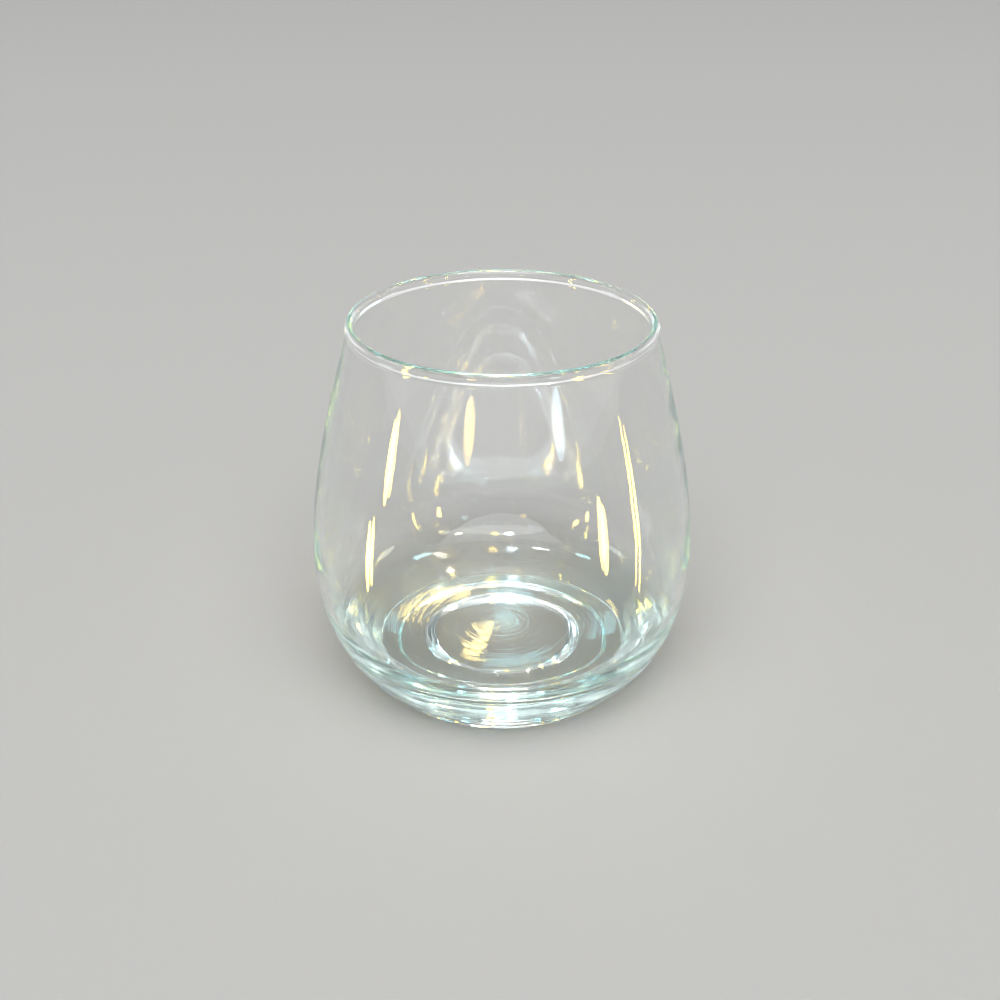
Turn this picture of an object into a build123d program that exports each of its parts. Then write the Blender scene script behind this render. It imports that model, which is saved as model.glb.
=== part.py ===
from build123d import *
import os
from math import acos, cos, degrees, radians, sin

# Stemless wine glass: a blown bowl on a heavy pushed-up base, closed at the lip by a rounded bead.
# The glass is cut where its form changes, so that each zone is a solid of its own and meets the next
# one face to face. Millimetres, +Z up, origin on the axis at table level.

# Rim
glass_height = 95.0
rim_radius = 36.3  # to the middle of the wall below the bead
neck_wall = 1.5
neck_lean = 15.0  # degrees the wall leans in from upright
bead_proud = 0.3  # how far the bead stands out from the wall, inside and outside
bead_height = 3.0

# Belly
belly_radius = 47.7
belly_height = 33.8  # widest point, outside
belly_wall = 2.0
inner_belly_height = 36.0  # widest point, inside

# Heel and foot ring
foot_radius = 33.3
foot_round = 0.8
foot_ring_width = 6.0
foot_ring_flank = 1.2  # width of the ring's sloping inner side
heel_slope = 35.3  # degrees above level where the heel leaves the foot ring
heel_above_floor = 4.0  # how far the heel runs on up, past the edge of the inside floor

# Pushed-up base
floor_thickness = 4.0  # on the axis
floor_dish = 0.5  # rise of the inside floor from the axis to its edge
floor_slope = 6.0  # degrees above level where the floor turns up into the heel
push_height = 6.5  # underside on the axis, above the table
push_crown = 0.3  # fall of the crown from the axis to its shoulder
crown_radius = 17.5
shoulder_width = 3.7
skirt_height = 1.8  # underside at the foot of the shoulder
skirt_edge_height = 1.5  # underside where it meets the foot ring

# Fullness of the curves: how far each end keeps its direction, as a share of the curve's own span
heel_fullness = 0.36
belly_fullness_below = 0.38
belly_fullness_above = 0.34
neck_fullness = 0.33
inner_belly_fullness_below = 0.80
inner_belly_fullness_above = 0.30
corner_fullness = 0.71
floor_fullness = 0.35
crown_fullness = 0.40

# Levels and radii that follow from the sizes above
bead_half_width = neck_wall / 2 + bead_proud
bead_half_height = bead_height / 2
bead_middle = glass_height - bead_half_height
bead_meets_wall = acos(neck_wall / 2 / bead_half_width)  # angle on the bead, below its middle
bead_seam = bead_middle - bead_half_height * sin(bead_meets_wall)
foot_ring_inner = foot_radius - foot_ring_width
push_radius = crown_radius + shoulder_width
floor_height = push_height + floor_thickness
floor_edge_height = floor_height + floor_dish
heel_top = floor_edge_height + heel_above_floor


def heading(angle, length):
    """Step of the given length, at an angle above level."""
    return Vector(length * cos(radians(angle)), length * sin(radians(angle)))


def curve(start, start_step, end_step, end):
    """Smooth curve that leaves start along start_step and arrives at end from end_step."""
    return Bezier(start, start + start_step, end + end_step, end)


def ease(start, end):
    """S-shaped curve between two levels, flat at both ends."""
    half = Vector((end.X - start.X) / 2, 0)
    return curve(start, half, -half, end)


def outside():
    """Outline of the outer face, from the foot ring's bearing edge to the bead."""
    bearing_edge = Vector(foot_radius - foot_round, 0)
    foot_edge = Vector(foot_radius, foot_round)
    belly = Vector(belly_radius, belly_height)
    neck = Vector(rim_radius + neck_wall / 2, bead_seam)
    below = belly_height - foot_round
    above = bead_seam - belly_height
    return [
        CenterArc((bearing_edge.X, foot_round), foot_round, -90, 90),
        curve(
            foot_edge,
            heading(heel_slope, heel_fullness * below),
            Vector(0, -belly_fullness_below * below),
            belly,
        ),
        curve(
            belly,
            Vector(0, belly_fullness_above * above),
            heading(neck_lean - 90, neck_fullness * above),
            neck,
        ),
    ]


def inside():
    """Outline of the inner face, from the bead down to the middle of the floor."""
    neck = Vector(rim_radius - neck_wall / 2, bead_seam)
    belly = Vector(belly_radius - belly_wall, inner_belly_height)
    floor_edge = Vector(foot_ring_inner, floor_edge_height)
    floor_middle = Vector(0, floor_height)
    above = bead_seam - inner_belly_height
    below = inner_belly_height - floor_edge_height
    across = belly.X - floor_edge.X
    return [
        curve(
            neck,
            heading(neck_lean - 90, neck_fullness * above),
            Vector(0, inner_belly_fullness_above * above),
            belly,
        ),
        curve(
            belly,
            Vector(0, -inner_belly_fullness_below * below),
            heading(floor_slope, corner_fullness * across),
            floor_edge,
        ),
        curve(
            floor_edge,
            heading(floor_slope + 180, floor_fullness * floor_edge.X),
            Vector(floor_fullness * floor_edge.X, 0),
            floor_middle,
        ),
    ]


def underside():
    """Outline of the underside, from the axis to the foot ring's bearing face."""
    crown = Vector(0, push_height)
    shoulder = Vector(crown_radius, push_height - push_crown)
    skirt = Vector(push_radius, skirt_height)
    skirt_edge = Vector(foot_ring_inner, skirt_edge_height)
    bearing_inner = Vector(foot_ring_inner + foot_ring_flank, 0)
    reach = Vector(crown_fullness * crown_radius, 0)
    return [
        curve(crown, reach, -reach, shoulder),
        ease(shoulder, skirt),
        Line(skirt, skirt_edge),
        ease(skirt_edge, bearing_inner),
        Line(bearing_inner, (foot_radius - foot_round, 0)),
    ]


def half_section():
    """Half of the glass cut through its axis: radius across, height up."""
    turn = degrees(bead_meets_wall)
    bead = EllipticalCenterArc(
        (rim_radius, bead_middle), bead_half_width, bead_half_height, -turn, arc_size=180 + 2 * turn
    )
    axis = Line((0, floor_height), (0, push_height))
    return make_face(Curve() + [*underside(), *outside(), bead, *inside(), axis])


def zone(section, inner, outer, low, high):
    """Solid of revolution of the section between two radii and two levels."""
    band = Pos((inner + outer) / 2, (low + high) / 2) * Rectangle(outer - inner, high - low)
    return revolve(Plane.XZ * (section & band), Axis.Z)


section = half_section()
reach = belly_radius + belly_wall  # a radius clear of the whole glass
zones = {
    "punt_base": zone(section, 0, foot_ring_inner, 0, heel_top),
    "heel_foot": zone(section, foot_ring_inner, reach, 0, heel_top),
    "lower_bowl": zone(section, 0, reach, heel_top, belly_height),
    "upper_bowl": zone(section, 0, reach, belly_height, bead_seam),
    "rim_bead": zone(section, 0, reach, bead_seam, glass_height),
}

os.makedirs("parts", exist_ok=True)
for name, solid in zones.items():
    export_step(solid, f"parts/{name}.step")
    print(name, f"{solid.volume / 1000:.2f} cm3")
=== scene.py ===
import math
import bpy
import numpy as np
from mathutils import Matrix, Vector


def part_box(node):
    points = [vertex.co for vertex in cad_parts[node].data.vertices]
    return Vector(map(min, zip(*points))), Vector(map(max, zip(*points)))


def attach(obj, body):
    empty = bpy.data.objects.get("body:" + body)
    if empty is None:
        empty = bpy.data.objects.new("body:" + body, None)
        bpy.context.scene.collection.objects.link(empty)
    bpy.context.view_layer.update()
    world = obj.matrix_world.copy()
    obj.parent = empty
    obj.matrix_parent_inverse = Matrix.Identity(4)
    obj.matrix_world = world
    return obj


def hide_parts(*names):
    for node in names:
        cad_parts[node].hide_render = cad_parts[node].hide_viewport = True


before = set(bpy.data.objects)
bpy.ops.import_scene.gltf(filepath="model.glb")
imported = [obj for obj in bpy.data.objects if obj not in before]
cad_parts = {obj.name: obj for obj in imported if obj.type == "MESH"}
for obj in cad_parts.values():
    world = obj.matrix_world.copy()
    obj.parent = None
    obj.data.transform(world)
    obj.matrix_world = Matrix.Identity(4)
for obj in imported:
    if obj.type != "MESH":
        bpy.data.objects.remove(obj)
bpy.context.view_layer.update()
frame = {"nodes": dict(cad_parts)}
scene = bpy.context.scene
mm = 0.001
print("frame loaded:", ", ".join(frame["nodes"]))

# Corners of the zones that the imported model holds
beadLow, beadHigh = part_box("rim_bead")
wallLow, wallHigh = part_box("upper_bowl")
floorLow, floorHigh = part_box("punt_base")
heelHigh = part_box("heel_foot")[1]

bowl = {
    "rimTop": beadHigh[2],
    "beadOuter": beadHigh[0],
    "beadSeam": beadLow[2],
    "bellyRadius": wallHigh[0],
    "bellyHeight": wallLow[2],
    "ringInner": floorHigh[0],      # inner edge of the foot ring
    "floorEdge": floorHigh[2],      # inside floor where it turns up
    "skirtEdge": floorLow[2],       # underside where it meets the ring
    "heelTop": heelHigh[2],         # the heel's ripples end here
    "neckWall": 1.5 * mm,
    "beadProud": 0.3 * mm,
    "beadTall": 3.0 * mm,
    "neckLean": 15.0,               # degrees in from upright
    "bellyWall": 2.0 * mm,
    "innerBelly": 36.0 * mm,
    "footRadius": 33.3 * mm,
    "footRound": 0.8 * mm,
    "ringFlank": 1.2 * mm,
    "heelSlope": 35.3,              # degrees above level
    "floorDish": 0.5 * mm,
    "floorSlope": 6.0,
    "pushHeight": 6.5 * mm,
    "pushCrown": 0.3 * mm,
    "crownRadius": 17.5 * mm,
    "shoulderWidth": 3.7 * mm,
    "skirtHeight": 1.8 * mm,
    "columns": 192,
}

# How far a curve keeps its heading at each end, as a share of its span
pull = {
    "crown": 0.40,
    "heel": 0.36,
    "bellyBelow": 0.38,
    "bellyAbove": 0.34,
    "neck": 0.33,
    "innerAbove": 0.30,
    "innerBelow": 0.80,
    "corner": 0.71,
    "floor": 0.35,
}

# Points along each stretch of the profile
rows = {
    "crown": 44,
    "shoulder": 36,
    "skirt": 36,
    "flank": 10,
    "bearing": 8,
    "foot": 8,
    "outHeel": 94,
    "outWall": 70,
    "bead": 30,
    "inWall": 60,
    "inHeel": 72,
    "inFloor": 40,
}

# Marks of making: low waves that run round the glass and wander up and down as they go
waves = [
    # where, length, height, wander, lobes
    (("outWall",), 9.0 * mm, 0.0030 * mm, 1.6 * mm, 2),
    (("inWall",), 11.0 * mm, 0.0035 * mm, 2.0 * mm, 2),
    (("outHeel",), 4.6 * mm, 0.0140 * mm, 0.5 * mm, 2),
    (("outHeel",), 2.6 * mm, 0.0060 * mm, 0.4 * mm, 2),
    (("inHeel", "inFloor"), 3.4 * mm, 0.0045 * mm, 0.3 * mm, 2),
    (("crown",), 2.6 * mm, 0.0050 * mm, 0.5 * mm, 1),
    (("shoulder", "skirt"), 1.6 * mm, 0.0060 * mm, 0.05 * mm, 2),
    (("shoulder", "skirt"), 0.9 * mm, 0.0024 * mm, 0.03 * mm, 3),
]
waveHabit = {
    "fade": 0.08,           # share of a stretch over which its waves rise and die away
    "swell": 0.45,          # how much taller and lower a wave gets on its way round
    "second": 0.5,          # a second, quicker wander beside the first
    "driftTurn": 1.7,       # turns from wave to wave, in radians, so that no two lie alike
    "secondTurn": 0.9,
    "swellTurn": 2.3,
    "phaseTurn": 2.1,
}


def at(radius, height):
    # a point of the profile
    return np.array([radius, height])


def aim(degrees, length):
    # step of a length at an angle above level
    a = math.radians(degrees)
    return length * at(math.cos(a), math.sin(a))


def bezier(p0, p1, p2, p3, count):
    # cubic blend of four points, weights (1-t)^3, 3t(1-t)^2, 3t^2(1-t), t^3
    t = np.linspace(0, 1, count)[:, None]
    return (1 - t) ** 3 * p0 + 3 * t * (1 - t) ** 2 * p1 + 3 * t * t * (1 - t) * p2 + t**3 * p3


def ease(start, end, count):
    # S-curve, level at both ends
    half = at((end[0] - start[0]) / 2, 0)
    return bezier(start, start + half, end - half, end, count)


def straight(start, end, count):
    # even steps from start to end
    t = np.linspace(0, 1, count)[:, None]
    return start + t * (end - start)


def ovalArc(centre, halfWidth, halfHeight, first, last, count):
    # centre plus (half width times cosine, half height times sine) between two angles in radians
    a = np.linspace(first, last, count)[:, None]
    return centre + np.hstack([halfWidth * np.cos(a), halfHeight * np.sin(a)])


def underside(b):
    # from the axis over crown, shoulder and skirt to the flat of the foot ring
    crown = at(0, b["pushHeight"])
    shoulder = at(b["crownRadius"], b["pushHeight"] - b["pushCrown"])
    skirt = at(b["crownRadius"] + b["shoulderWidth"], b["skirtHeight"])
    skirtEdge = at(b["ringInner"], b["skirtEdge"])
    bearingIn = at(b["ringInner"] + b["ringFlank"], 0)
    bearingOut = at(b["footRadius"] - b["footRound"], 0)
    step = at(pull["crown"] * b["crownRadius"], 0)
    return [
        ("crown", bezier(crown, crown + step, shoulder - step, shoulder, rows["crown"])),
        ("shoulder", ease(shoulder, skirt, rows["shoulder"])),
        ("skirt", straight(skirt, skirtEdge, rows["skirt"])),
        ("flank", ease(skirtEdge, bearingIn, rows["flank"])),
        ("bearing", straight(bearingIn, bearingOut, rows["bearing"])),
    ]


def outside(b, rim):
    # quarter circle at the foot, then heel and wall up to the bead
    foot = at(b["footRadius"], b["footRound"])
    footCentre = foot - at(b["footRound"], 0)
    belly = at(b["bellyRadius"], b["bellyHeight"])
    neck = at(rim + b["neckWall"] / 2, b["beadSeam"])
    below = b["bellyHeight"] - b["footRound"]
    above = b["beadSeam"] - b["bellyHeight"]
    heelOut = foot + aim(b["heelSlope"], pull["heel"] * below)
    bellyDown = belly - at(0, pull["bellyBelow"] * below)
    bellyUp = belly + at(0, pull["bellyAbove"] * above)
    neckDown = neck + aim(b["neckLean"] - 90, pull["neck"] * above)
    return [
        ("foot", ovalArc(footCentre, b["footRound"], b["footRound"], -math.pi / 2, 0, rows["foot"])),
        ("outHeel", bezier(foot, heelOut, bellyDown, belly, rows["outHeel"])),
        ("outWall", bezier(belly, bellyUp, neckDown, neck, rows["outWall"])),
    ]


def lip(b, rim, halfBead):
    # oval bead, open below where the wall runs into it
    halfTall = b["beadTall"] / 2
    turn = math.acos(b["neckWall"] / 2 / halfBead)
    middle = at(rim, b["rimTop"] - halfTall)
    return [("bead", ovalArc(middle, halfBead, halfTall, -turn, math.pi + turn, rows["bead"]))]


def inside(b, rim):
    # wall from the bead down, round the corner and along the dished floor to the axis
    neck = at(rim - b["neckWall"] / 2, b["beadSeam"])
    belly = at(b["bellyRadius"] - b["bellyWall"], b["innerBelly"])
    edge = at(b["ringInner"], b["floorEdge"])
    middle = at(0, b["floorEdge"] - b["floorDish"])
    above = b["beadSeam"] - b["innerBelly"]
    below = b["innerBelly"] - b["floorEdge"]
    neckDown = neck + aim(b["neckLean"] - 90, pull["neck"] * above)
    bellyUp = belly + at(0, pull["innerAbove"] * above)
    bellyDown = belly - at(0, pull["innerBelow"] * below)
    edgeOut = edge + aim(b["floorSlope"], pull["corner"] * (belly[0] - edge[0]))
    floorStep = pull["floor"] * edge[0]
    edgeIn = edge + aim(b["floorSlope"] + 180, floorStep)
    return [
        ("inWall", bezier(neck, neckDown, bellyUp, belly, rows["inWall"])),
        ("inHeel", bezier(belly, bellyDown, edgeOut, edge, rows["inHeel"])),
        ("inFloor", bezier(edge, edgeIn, middle + at(floorStep, 0), middle, rows["inFloor"])),
    ]


def bowlProfile(b):
    # radius and height along the cut face: underside, foot, heel, wall, bead, then down the inside
    halfBead = b["neckWall"] / 2 + b["beadProud"]
    rim = b["beadOuter"] - halfBead         # to the middle of the wall below the bead
    return underside(b) + outside(b, rim) + lip(b, rim, halfBead) + inside(b, rim)


def joinProfile(stretches, heelTop):
    # one array of rows, with the stretch each row belongs to; shared ends are kept once
    points, names = [], []
    for name, p in stretches:
        start = 1 if points else 0
        points.append(p[start:])
        names += [name] * (len(p) - start)
    points = np.vstack(points)
    names = np.array(names)
    names[(names == "outHeel") & (points[:, 1] > heelTop)] = "outBelly"
    return points, names


def waveField(points, names, theta, habit):
    # offset along the normal: sum of height * fade * swell * sin(2 pi (distance + drift) / length)
    along = np.concatenate([[0], np.cumsum(np.hypot(*np.diff(points, axis=0).T))])
    field = np.zeros((len(points), len(theta)))
    for i, (where, length, height, wander, lobes) in enumerate(waves):
        here = np.flatnonzero(np.isin(names, where))
        s = along[here] - along[here[0]]
        end = s[-1]
        fade = np.clip(np.minimum(s, end - s) / (habit["fade"] * end), 0, 1)
        fade = fade * fade * (3 - 2 * fade)
        first = np.sin(lobes * theta + habit["driftTurn"] * i)
        second = np.sin((2 * lobes + 1) * theta + habit["secondTurn"] * i)
        drift = wander * (first + habit["second"] * second)
        swell = 1 + habit["swell"] * np.sin((lobes + 1) * theta + habit["swellTurn"] * i)
        phase = 2 * math.pi * (s[:, None] + drift[None]) / length + habit["phaseTurn"] * i
        field[here] += height * fade[:, None] * swell[None] * np.sin(phase)
    return field


def turnedMesh(name, points, offset, theta):
    # surface of revolution: x = r cos theta, y = r sin theta, z = z, both poles closed by one point
    step = np.gradient(points, axis=0)
    normal = np.stack([step[:, 1], -step[:, 0]], 1)
    normal /= np.linalg.norm(normal, axis=1)[:, None]
    radius = points[1:-1, 0, None] + normal[1:-1, 0, None] * offset[1:-1]
    height = points[1:-1, 1, None] + normal[1:-1, 1, None] * offset[1:-1]
    rings, cols = radius.shape
    grid = np.stack([radius * np.cos(theta), radius * np.sin(theta), height], -1).reshape(-1, 3)
    verts = np.vstack([grid, [[0, 0, points[0, 1]], [0, 0, points[-1, 1]]]])
    i = np.arange(rings - 1)[:, None] * cols
    j = np.arange(cols)[None]
    k = (j + 1) % cols
    quads = np.stack([i + j, i + k, i + cols + k, i + cols + j], -1).reshape(-1, 4)
    lowPole = rings * cols
    highPole = lowPole + 1
    last = (rings - 1) * cols
    fanLow = np.stack([np.full(cols, lowPole), k[0], j[0]], -1)
    fanHigh = np.stack([np.full(cols, highPole), last + j[0], last + k[0]], -1)
    mesh = bpy.data.meshes.new(name)
    mesh.from_pydata(verts.tolist(), [], quads.tolist() + fanLow.tolist() + fanHigh.tolist())
    mesh.polygons.foreach_set("use_smooth", np.ones(len(mesh.polygons), bool))
    mesh.update()
    piece = bpy.data.objects.new(name, mesh)
    scene.collection.objects.link(piece)
    return piece


def node(tree, kind, **settings):
    # a new shader node with its settings
    n = tree.nodes.new("ShaderNode" + kind)
    for key, value in settings.items():
        setattr(n, key, value)
    return n


def mapRange(tree, value, low, high, atLow, atHigh):
    # straight change from atLow to atHigh while the value goes from low to high
    n = node(tree, "MapRange")
    for key, number in (("From Min", low), ("From Max", high), ("To Min", atLow), ("To Max", atHigh)):
        n.inputs[key].default_value = number
    tree.links.new(value, n.inputs["Value"])
    return n.outputs["Result"]


def scaled(tree, value, by):
    # the value times a number
    n = node(tree, "Math", operation="MULTIPLY")
    n.inputs[1].default_value = by
    tree.links.new(value, n.inputs[0])
    return n.outputs["Value"]


def noise(tree, vector, scale, detail, twist=0.0):
    # cloudy value between 0 and 1 at a place
    n = node(tree, "TexNoise")
    n.inputs["Scale"].default_value = scale
    n.inputs["Detail"].default_value = detail
    n.inputs["Distortion"].default_value = twist
    tree.links.new(vector, n.inputs["Vector"])
    return n.outputs["Fac"]


glassLook = {
    "ior": 1.52,
    "tint": (0.30, 0.86, 0.78, 1),      # soda-lime glass takes a little red over a long path
    "tintDensity": 5.0,
    "smearScale": 55,                   # faint wipe marks
    "smearDetail": 3,
    "smearTwist": 0.8,
    "smearFrom": 0.56,
    "smearTo": 0.80,
    "smearRough": 0.02,
    "linesAcross": 1600,                # fine lines round the base, in noise steps per metre
    "linesAlong": 45,
    "linesDetail": 2,
    "linesFull": 12 * mm,               # full up to this height
    "linesGone": 26 * mm,               # nearly gone from here up
    "linesLeft": 0.05,
    "unevenScale": 130,                 # the walls are not quite true
    "unevenDetail": 1,
    "unevenShare": 1.2,
    "relief": 0.018 * mm,
}


def clearGlass(look):
    # smooth glass that tints with depth, with haze where it was wiped and a very low relief
    mat = bpy.data.materials.new("clearGlass")
    mat.use_nodes = True
    tree = mat.node_tree
    link = tree.links.new
    shader = tree.nodes["Principled BSDF"]
    shader.inputs["Base Color"].default_value = (1, 1, 1, 1)
    shader.inputs["Transmission Weight"].default_value = 1
    shader.inputs["IOR"].default_value = look["ior"]
    tint = node(tree, "VolumeAbsorption")
    tint.inputs["Color"].default_value = look["tint"]
    tint.inputs["Density"].default_value = look["tintDensity"]
    link(tint.outputs["Volume"], tree.nodes["Material Output"].inputs["Volume"])

    place = node(tree, "TexCoord").outputs["Object"]
    smear = noise(tree, place, look["smearScale"], look["smearDetail"], look["smearTwist"])
    haze = mapRange(tree, smear, look["smearFrom"], look["smearTo"], 0.0, look["smearRough"])
    link(haze, shader.inputs["Roughness"])

    spot = node(tree, "SeparateXYZ")
    link(place, spot.inputs["Vector"])
    flat = node(tree, "CombineXYZ")             # x and y alone, so its length is the radius
    link(spot.outputs["X"], flat.inputs["X"])
    link(spot.outputs["Y"], flat.inputs["Y"])
    radius = node(tree, "VectorMath", operation="LENGTH")
    link(flat.outputs["Vector"], radius.inputs[0])
    around = node(tree, "CombineXYZ")           # quick change over radius and height, slow across x
    link(scaled(tree, radius.outputs["Value"], look["linesAcross"]), around.inputs["X"])
    link(scaled(tree, spot.outputs["Z"], look["linesAcross"]), around.inputs["Y"])
    link(scaled(tree, spot.outputs["X"], look["linesAlong"]), around.inputs["Z"])
    lines = noise(tree, around.outputs["Vector"], 1, look["linesDetail"])
    low = mapRange(tree, spot.outputs["Z"], look["linesFull"], look["linesGone"], 1.0, look["linesLeft"])
    uneven = noise(tree, place, look["unevenScale"], look["unevenDetail"])
    relief = node(tree, "Math", operation="MULTIPLY_ADD")      # lines times low, plus uneven
    link(lines, relief.inputs[0])
    link(low, relief.inputs[1])
    link(scaled(tree, uneven, look["unevenShare"]), relief.inputs[2])
    bump = node(tree, "Bump")
    bump.inputs["Strength"].default_value = 1
    bump.inputs["Distance"].default_value = look["relief"]
    link(relief.outputs["Value"], bump.inputs["Height"])
    link(bump.outputs["Normal"], shader.inputs["Normal"])
    return mat


# Glass
profile, zone = joinProfile(bowlProfile(bowl), bowl["heelTop"])
angles = np.linspace(0, 2 * math.pi, bowl["columns"], endpoint=False)
ripples = waveField(profile, zone, angles, waveHabit)
glass = turnedMesh("wine_glass", profile, ripples, angles)
glass.data.materials.append(clearGlass(glassLook))
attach(glass, "root")
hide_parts("rim_bead", "upper_bowl", "lower_bowl", "heel_foot", "punt_base")
print("glass:", len(profile), "rows by", bowl["columns"], "columns")

# Floor
floor = {
    "radius": 4.0,
    "sides": 96,
    "drop": 0.05 * mm,                  # a hair of air under the foot
    "colour": (0.50, 0.50, 0.49, 1),
    "roughness": 0.75,
    "gloss": 0.2,
}


def paleFloor(f):
    # flat disc: x = r cos turn, y = r sin turn
    turn = np.linspace(0, 2 * math.pi, f["sides"], endpoint=False)
    level = np.full(f["sides"], -f["drop"])
    ring = np.stack([f["radius"] * np.cos(turn), f["radius"] * np.sin(turn), level], 1)
    mesh = bpy.data.meshes.new("pale_floor")
    mesh.from_pydata(ring.tolist(), [], [list(range(f["sides"]))])
    piece = bpy.data.objects.new("pale_floor", mesh)
    scene.collection.objects.link(piece)
    mat = bpy.data.materials.new("paleFloor")
    mat.use_nodes = True
    shader = mat.node_tree.nodes["Principled BSDF"]
    shader.inputs["Base Color"].default_value = f["colour"]
    shader.inputs["Roughness"].default_value = f["roughness"]
    shader.inputs["Specular IOR Level"].default_value = f["gloss"]
    mesh.materials.append(mat)
    return piece


paleFloor(floor)
print("floor laid")

# Light
softSun = {
    "azimuth": 180.0,                   # degrees, 0 is behind the glass
    "elevation": 46.0,
    "distance": 1.0,                    # any will do for a sun
    "strength": 1.6,
    "spread": 50.0,
}

# Lamps: name, azimuth, elevation, distance, width, height, brightness, colour
softBox = ("softBox", 176.0, 69.0, 3.00, 3.00, 2.45, 2.7, (1.00, 0.99, 0.98))
glints = [
    ("leftStrip", -84.0, 28.0, 1.10, 0.34, 0.16, 5.0, (0.92, 1.00, 0.96)),
    ("rightStrip", 80.0, 28.0, 1.10, 0.34, 0.16, 5.0, (1.00, 0.98, 0.88)),
    ("topWarm", 170.0, 69.0, 1.10, 0.06, 0.10, 120.0, (1.00, 0.60, 0.06)),
    ("topCool", -170.0, 69.0, 1.10, 0.08, 0.10, 120.0, (0.66, 0.86, 1.00)),
    ("ringCool", -1.0, 63.0, 1.10, 0.10, 0.24, 0.6, (0.40, 0.90, 1.00)),
    ("backCool", 0.6, 29.5, 1.10, 0.05, 0.08, 3.2, (0.50, 0.93, 1.00)),
    ("backWarm", -1.8, 32.3, 1.10, 0.012, 0.08, 24.0, (1.00, 0.78, 0.26)),
    ("ringLeft", -45.0, 60.0, 1.10, 0.12, 0.12, 18.0, (0.45, 0.90, 1.00)),
    ("ringRight", 45.0, 60.0, 1.10, 0.12, 0.12, 18.0, (0.45, 0.90, 1.00)),
    ("rimCool", -14.0, 14.0, 1.10, 0.12, 0.10, 8.0, (0.66, 0.95, 1.00)),
    ("rimWarm", 14.0, 14.0, 1.10, 0.12, 0.10, 8.0, (1.00, 0.84, 0.40)),
    ("warmSpot", 135.0, 57.0, 1.10, 0.07, 0.07, 130.0, (1.00, 0.90, 0.66)),
    ("coolSpot", -25.0, 69.0, 1.10, 0.08, 0.08, 60.0, (0.86, 0.95, 1.00)),
    ("columnWarm", -162.0, 24.6, 0.132, 0.012, 0.022, 6.5, (1.00, 0.74, 0.20)),
    ("columnCool", 149.0, 24.6, 0.132, 0.013, 0.024, 4.5, (0.72, 0.92, 1.00)),
    ("leftStreak", -118.5, 15.0, 0.124, 0.006, 0.034, 48.0, (1.00, 0.76, 0.12)),
    ("leftHook", -111.0, -6.0, 0.121, 0.005, 0.036, 48.0, (1.00, 0.76, 0.12)),
    ("rightThick", 129.6, 2.2, 0.120, 0.007, 0.034, 48.0, (1.00, 0.72, 0.12)),
    ("rightLong", 108.5, 2.0, 0.120, 0.003, 0.076, 44.0, (1.00, 0.68, 0.10)),
]


def placeLamp(data, azimuth, elevation, distance):
    # away from the belly's middle by (sin az cos el, cos az cos el, sin el), looking back at it
    az = math.radians(azimuth)
    el = math.radians(elevation)
    away = Vector((math.sin(az) * math.cos(el), math.cos(az) * math.cos(el), math.sin(el)))
    lamp = bpy.data.objects.new(data.name, data)
    lamp.location = Vector((0, 0, bowl["bellyHeight"])) + distance * away
    lamp.rotation_mode = "QUATERNION"
    lamp.rotation_quaternion = (-away).to_track_quat("-Z", "Y")
    scene.collection.objects.link(lamp)
    return lamp


def areaLamp(shape, name, azimuth, elevation, distance, width, height, brightness, colour):
    # power is pi times width times height times brightness, which an oval shows 4/pi brighter
    data = bpy.data.lights.new(name, "AREA")
    data.shape = shape
    data.size = width
    data.size_y = height
    data.energy = math.pi * width * height * brightness
    data.color = colour
    lamp = placeLamp(data, azimuth, elevation, distance)
    lamp.visible_camera = False
    return lamp


def wideSun(s):
    # a wide soft light from the front that reaches the whole floor alike
    data = bpy.data.lights.new("softSun", "SUN")
    data.energy = s["strength"]
    data.angle = math.radians(s["spread"])
    placeLamp(data, s["azimuth"], s["elevation"], s["distance"])


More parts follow.
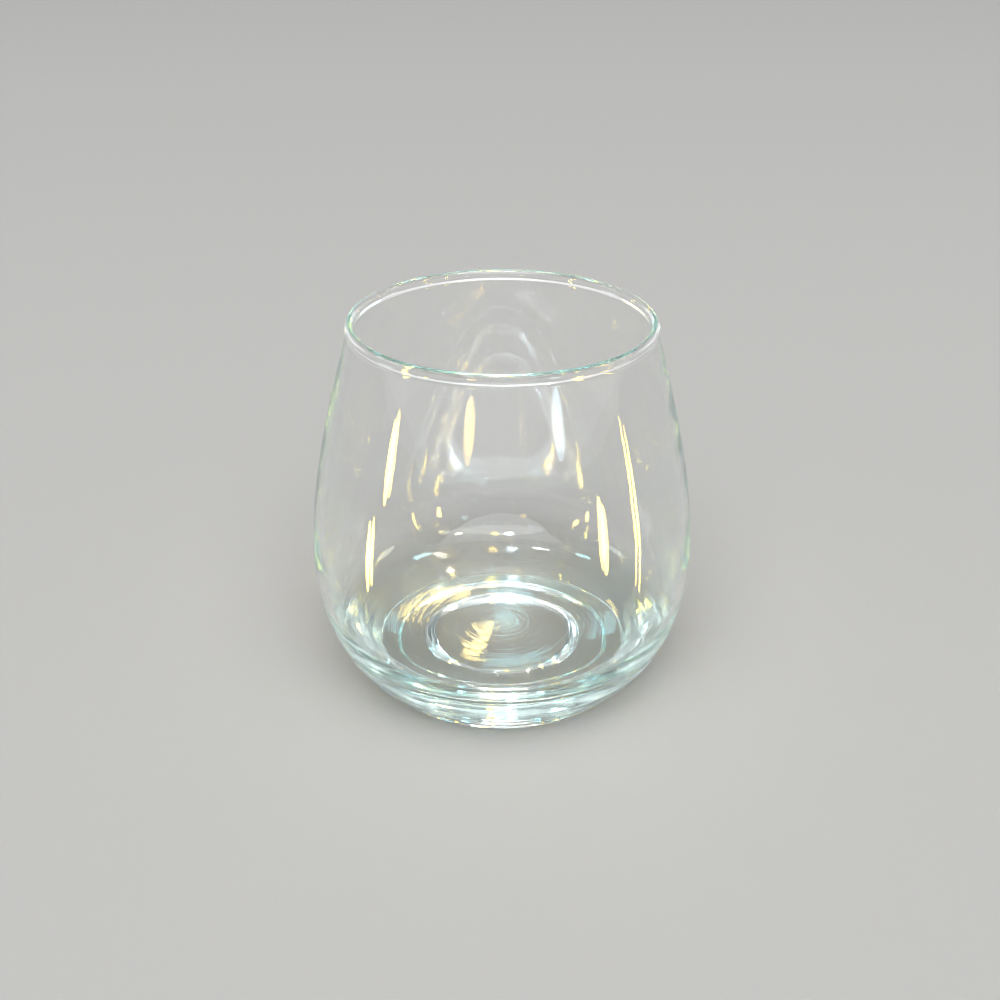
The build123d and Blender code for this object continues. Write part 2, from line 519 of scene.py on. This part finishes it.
studio = {
    "paleTo": 0.20,                     # height on the sky's unit sphere
    "pale": (1.00, 1.00, 1.00, 1),
    "darkFrom": 0.45,
    "dark": (0.15, 0.15, 0.15, 1),
}


def studioWorld(s):
    # pale near the horizon, darker overhead, so that the edges of the glass show light
    world = bpy.data.worlds.new("studio")
    world.use_nodes = True
    tree = world.node_tree
    place = node(tree, "TexCoord")
    split = node(tree, "SeparateXYZ")
    ramp = node(tree, "ValToRGB")
    tree.links.new(place.outputs["Generated"], split.inputs["Vector"])
    tree.links.new(split.outputs["Z"], ramp.inputs["Fac"])
    horizon, overhead = ramp.color_ramp.elements
    horizon.position = s["paleTo"]
    horizon.color = s["pale"]
    overhead.position = s["darkFrom"]
    overhead.color = s["dark"]
    tree.links.new(ramp.outputs["Color"], tree.nodes["Background"].inputs["Color"])
    scene.world = world


onGlass = bpy.data.collections.new("onGlass")   # the glints reach the glass alone
onGlass.objects.link(glass)
areaLamp("RECTANGLE", *softBox)
for glint in glints:
    areaLamp("ELLIPSE", *glint).light_linking.receiver_collection = onGlass
wideSun(softSun)
studioWorld(studio)
print("lamps: a soft box, a wide sun and", len(glints), "glints")

# Camera
view = {
    "lens": 54.0,
    "sensor": 36.0,
    "nearest": 0.01,
    "back": 337.5 * mm,
    "up": 216.2 * mm,
    "aside": -0.5 * mm,
    "pitch": 26.7,                      # degrees down from level
}
camera = bpy.data.objects.new("camera", bpy.data.cameras.new("camera"))
camera.data.lens = view["lens"]
camera.data.sensor_width = view["sensor"]
camera.data.clip_start = view["nearest"]
camera.location = (view["aside"], -view["back"], view["up"])
camera.rotation_euler = (math.radians(90 - view["pitch"]), 0, 0)
scene.collection.objects.link(camera)
scene.camera = camera
scene.view_settings.view_transform = "Standard"
print("camera set")

# Light paths
innerTurns = 64                             # light runs on inside the wall and the base
scene.cycles.max_bounces = innerTurns
scene.cycles.glossy_bounces = innerTurns
scene.cycles.transmission_bounces = innerTurns
scene.cycles.sample_clamp_indirect = 0      # glints keep their full strength
